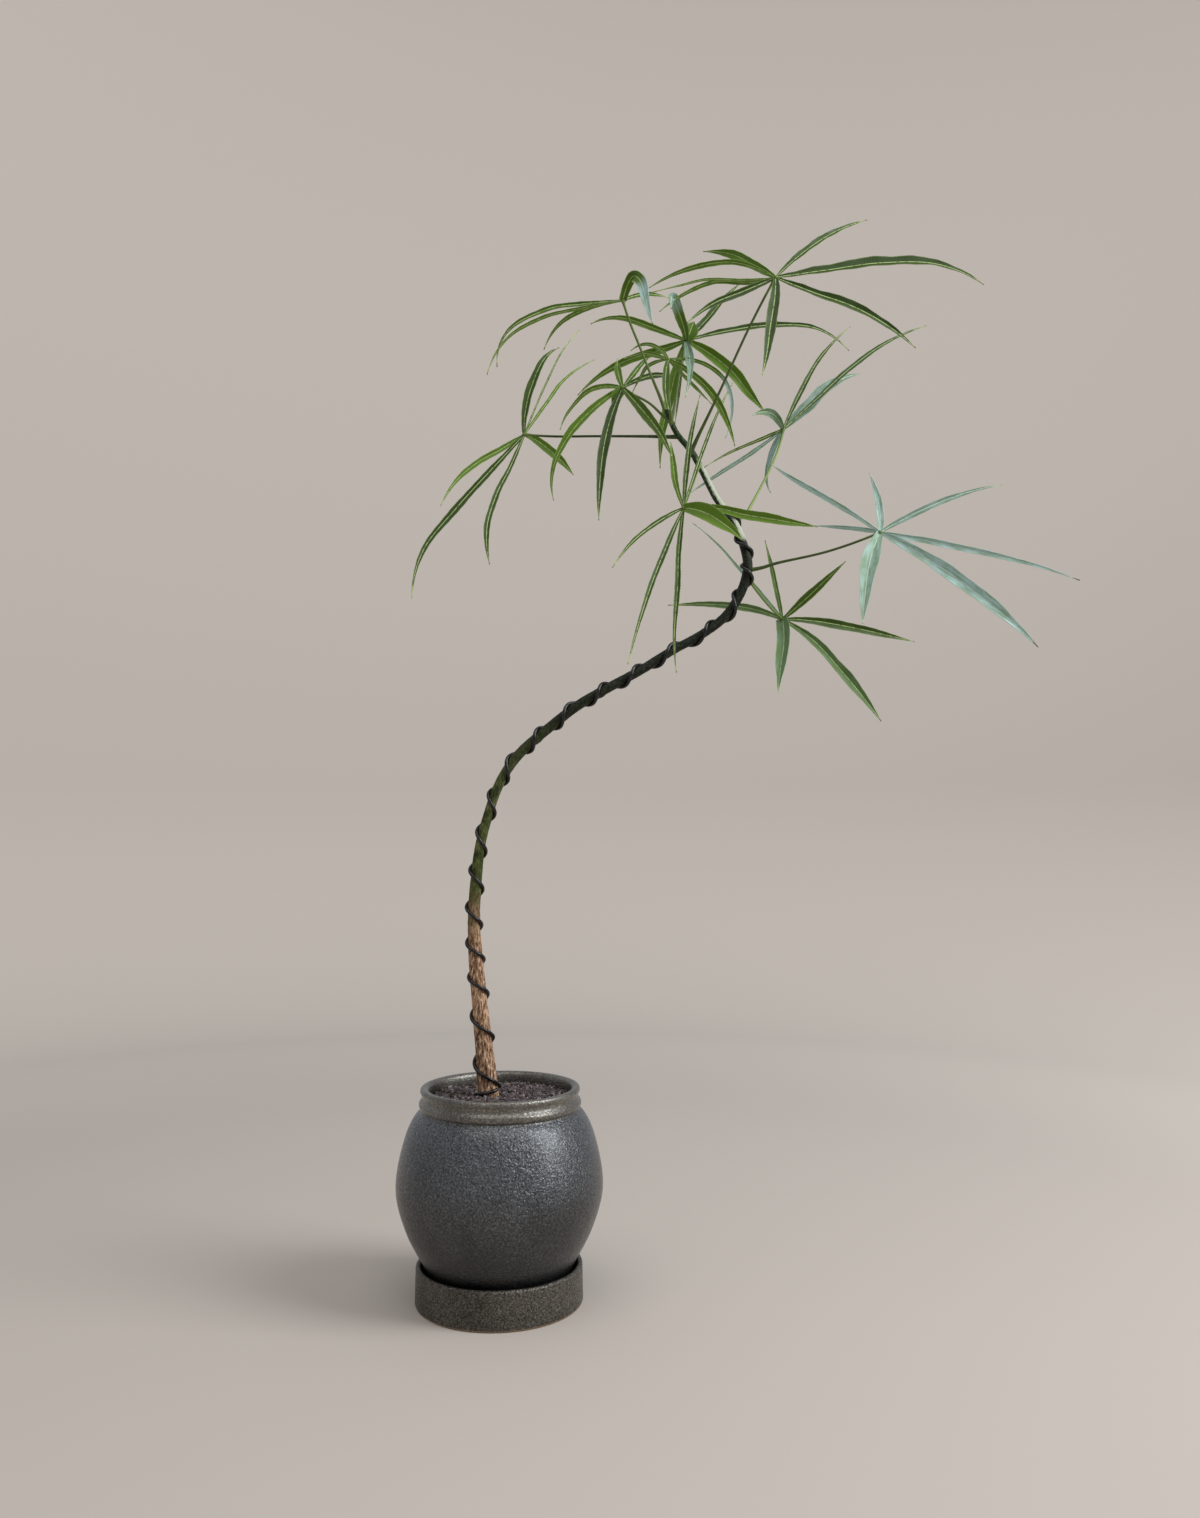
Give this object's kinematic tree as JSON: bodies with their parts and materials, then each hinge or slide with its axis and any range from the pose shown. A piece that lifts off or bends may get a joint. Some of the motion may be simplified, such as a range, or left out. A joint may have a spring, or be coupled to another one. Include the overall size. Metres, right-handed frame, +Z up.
{
  "type": "potted bottle tree",
  "caption": "Slender potted bottle tree with a wired, bent trunk, long-stalked leaves of narrow radiating lobes, and a round glazed pot on a matching saucer.",
  "frame": {"origin": "the middle of the saucer's flat underside", "axes": "+Z up along the pot's axis, +X the way the trunk leans, -Y the front"},
  "size_m": [0.3922, 0.155, 0.638],
  "materials": {
    "saucer_glaze": "dark brown-black glaze with a fine orange-peel texture",
    "pot_glaze": "blue-grey metallic glaze with a fine orange-peel texture, browner at the neck",
    "drain_mesh": "black moulded mesh",
    "potting_mix": "moist bark-based potting mix",
    "gravel": "fine dark lava gravel, 1 to 3 mm",
    "bark": "smooth young bark, orange-brown below and dark olive above",
    "wire": "dark anodised training wire, glossy",
    "leaf": "living leaf, satin, mid green to grey-green"
  },
  "bodies": {
    "root": {"saucer": "saucer_glaze", "pot": "pot_glaze", "drain_mesh": "drain_mesh", "potting_mix": "potting_mix", "top_gravel": "gravel", "trunk": "bark", "training_wire": "wire", "leaf_top_right": "leaf", "leaf_tip": "leaf", "leaf_crown": "leaf", "leaf_young": "leaf", "leaf_inner_left": "leaf", "leaf_far_left": "leaf", "leaf_right": "leaf", "leaf_low_middle": "leaf", "leaf_far_right": "leaf", "leaf_low_right": "leaf"}
  },
  "joints": []
}
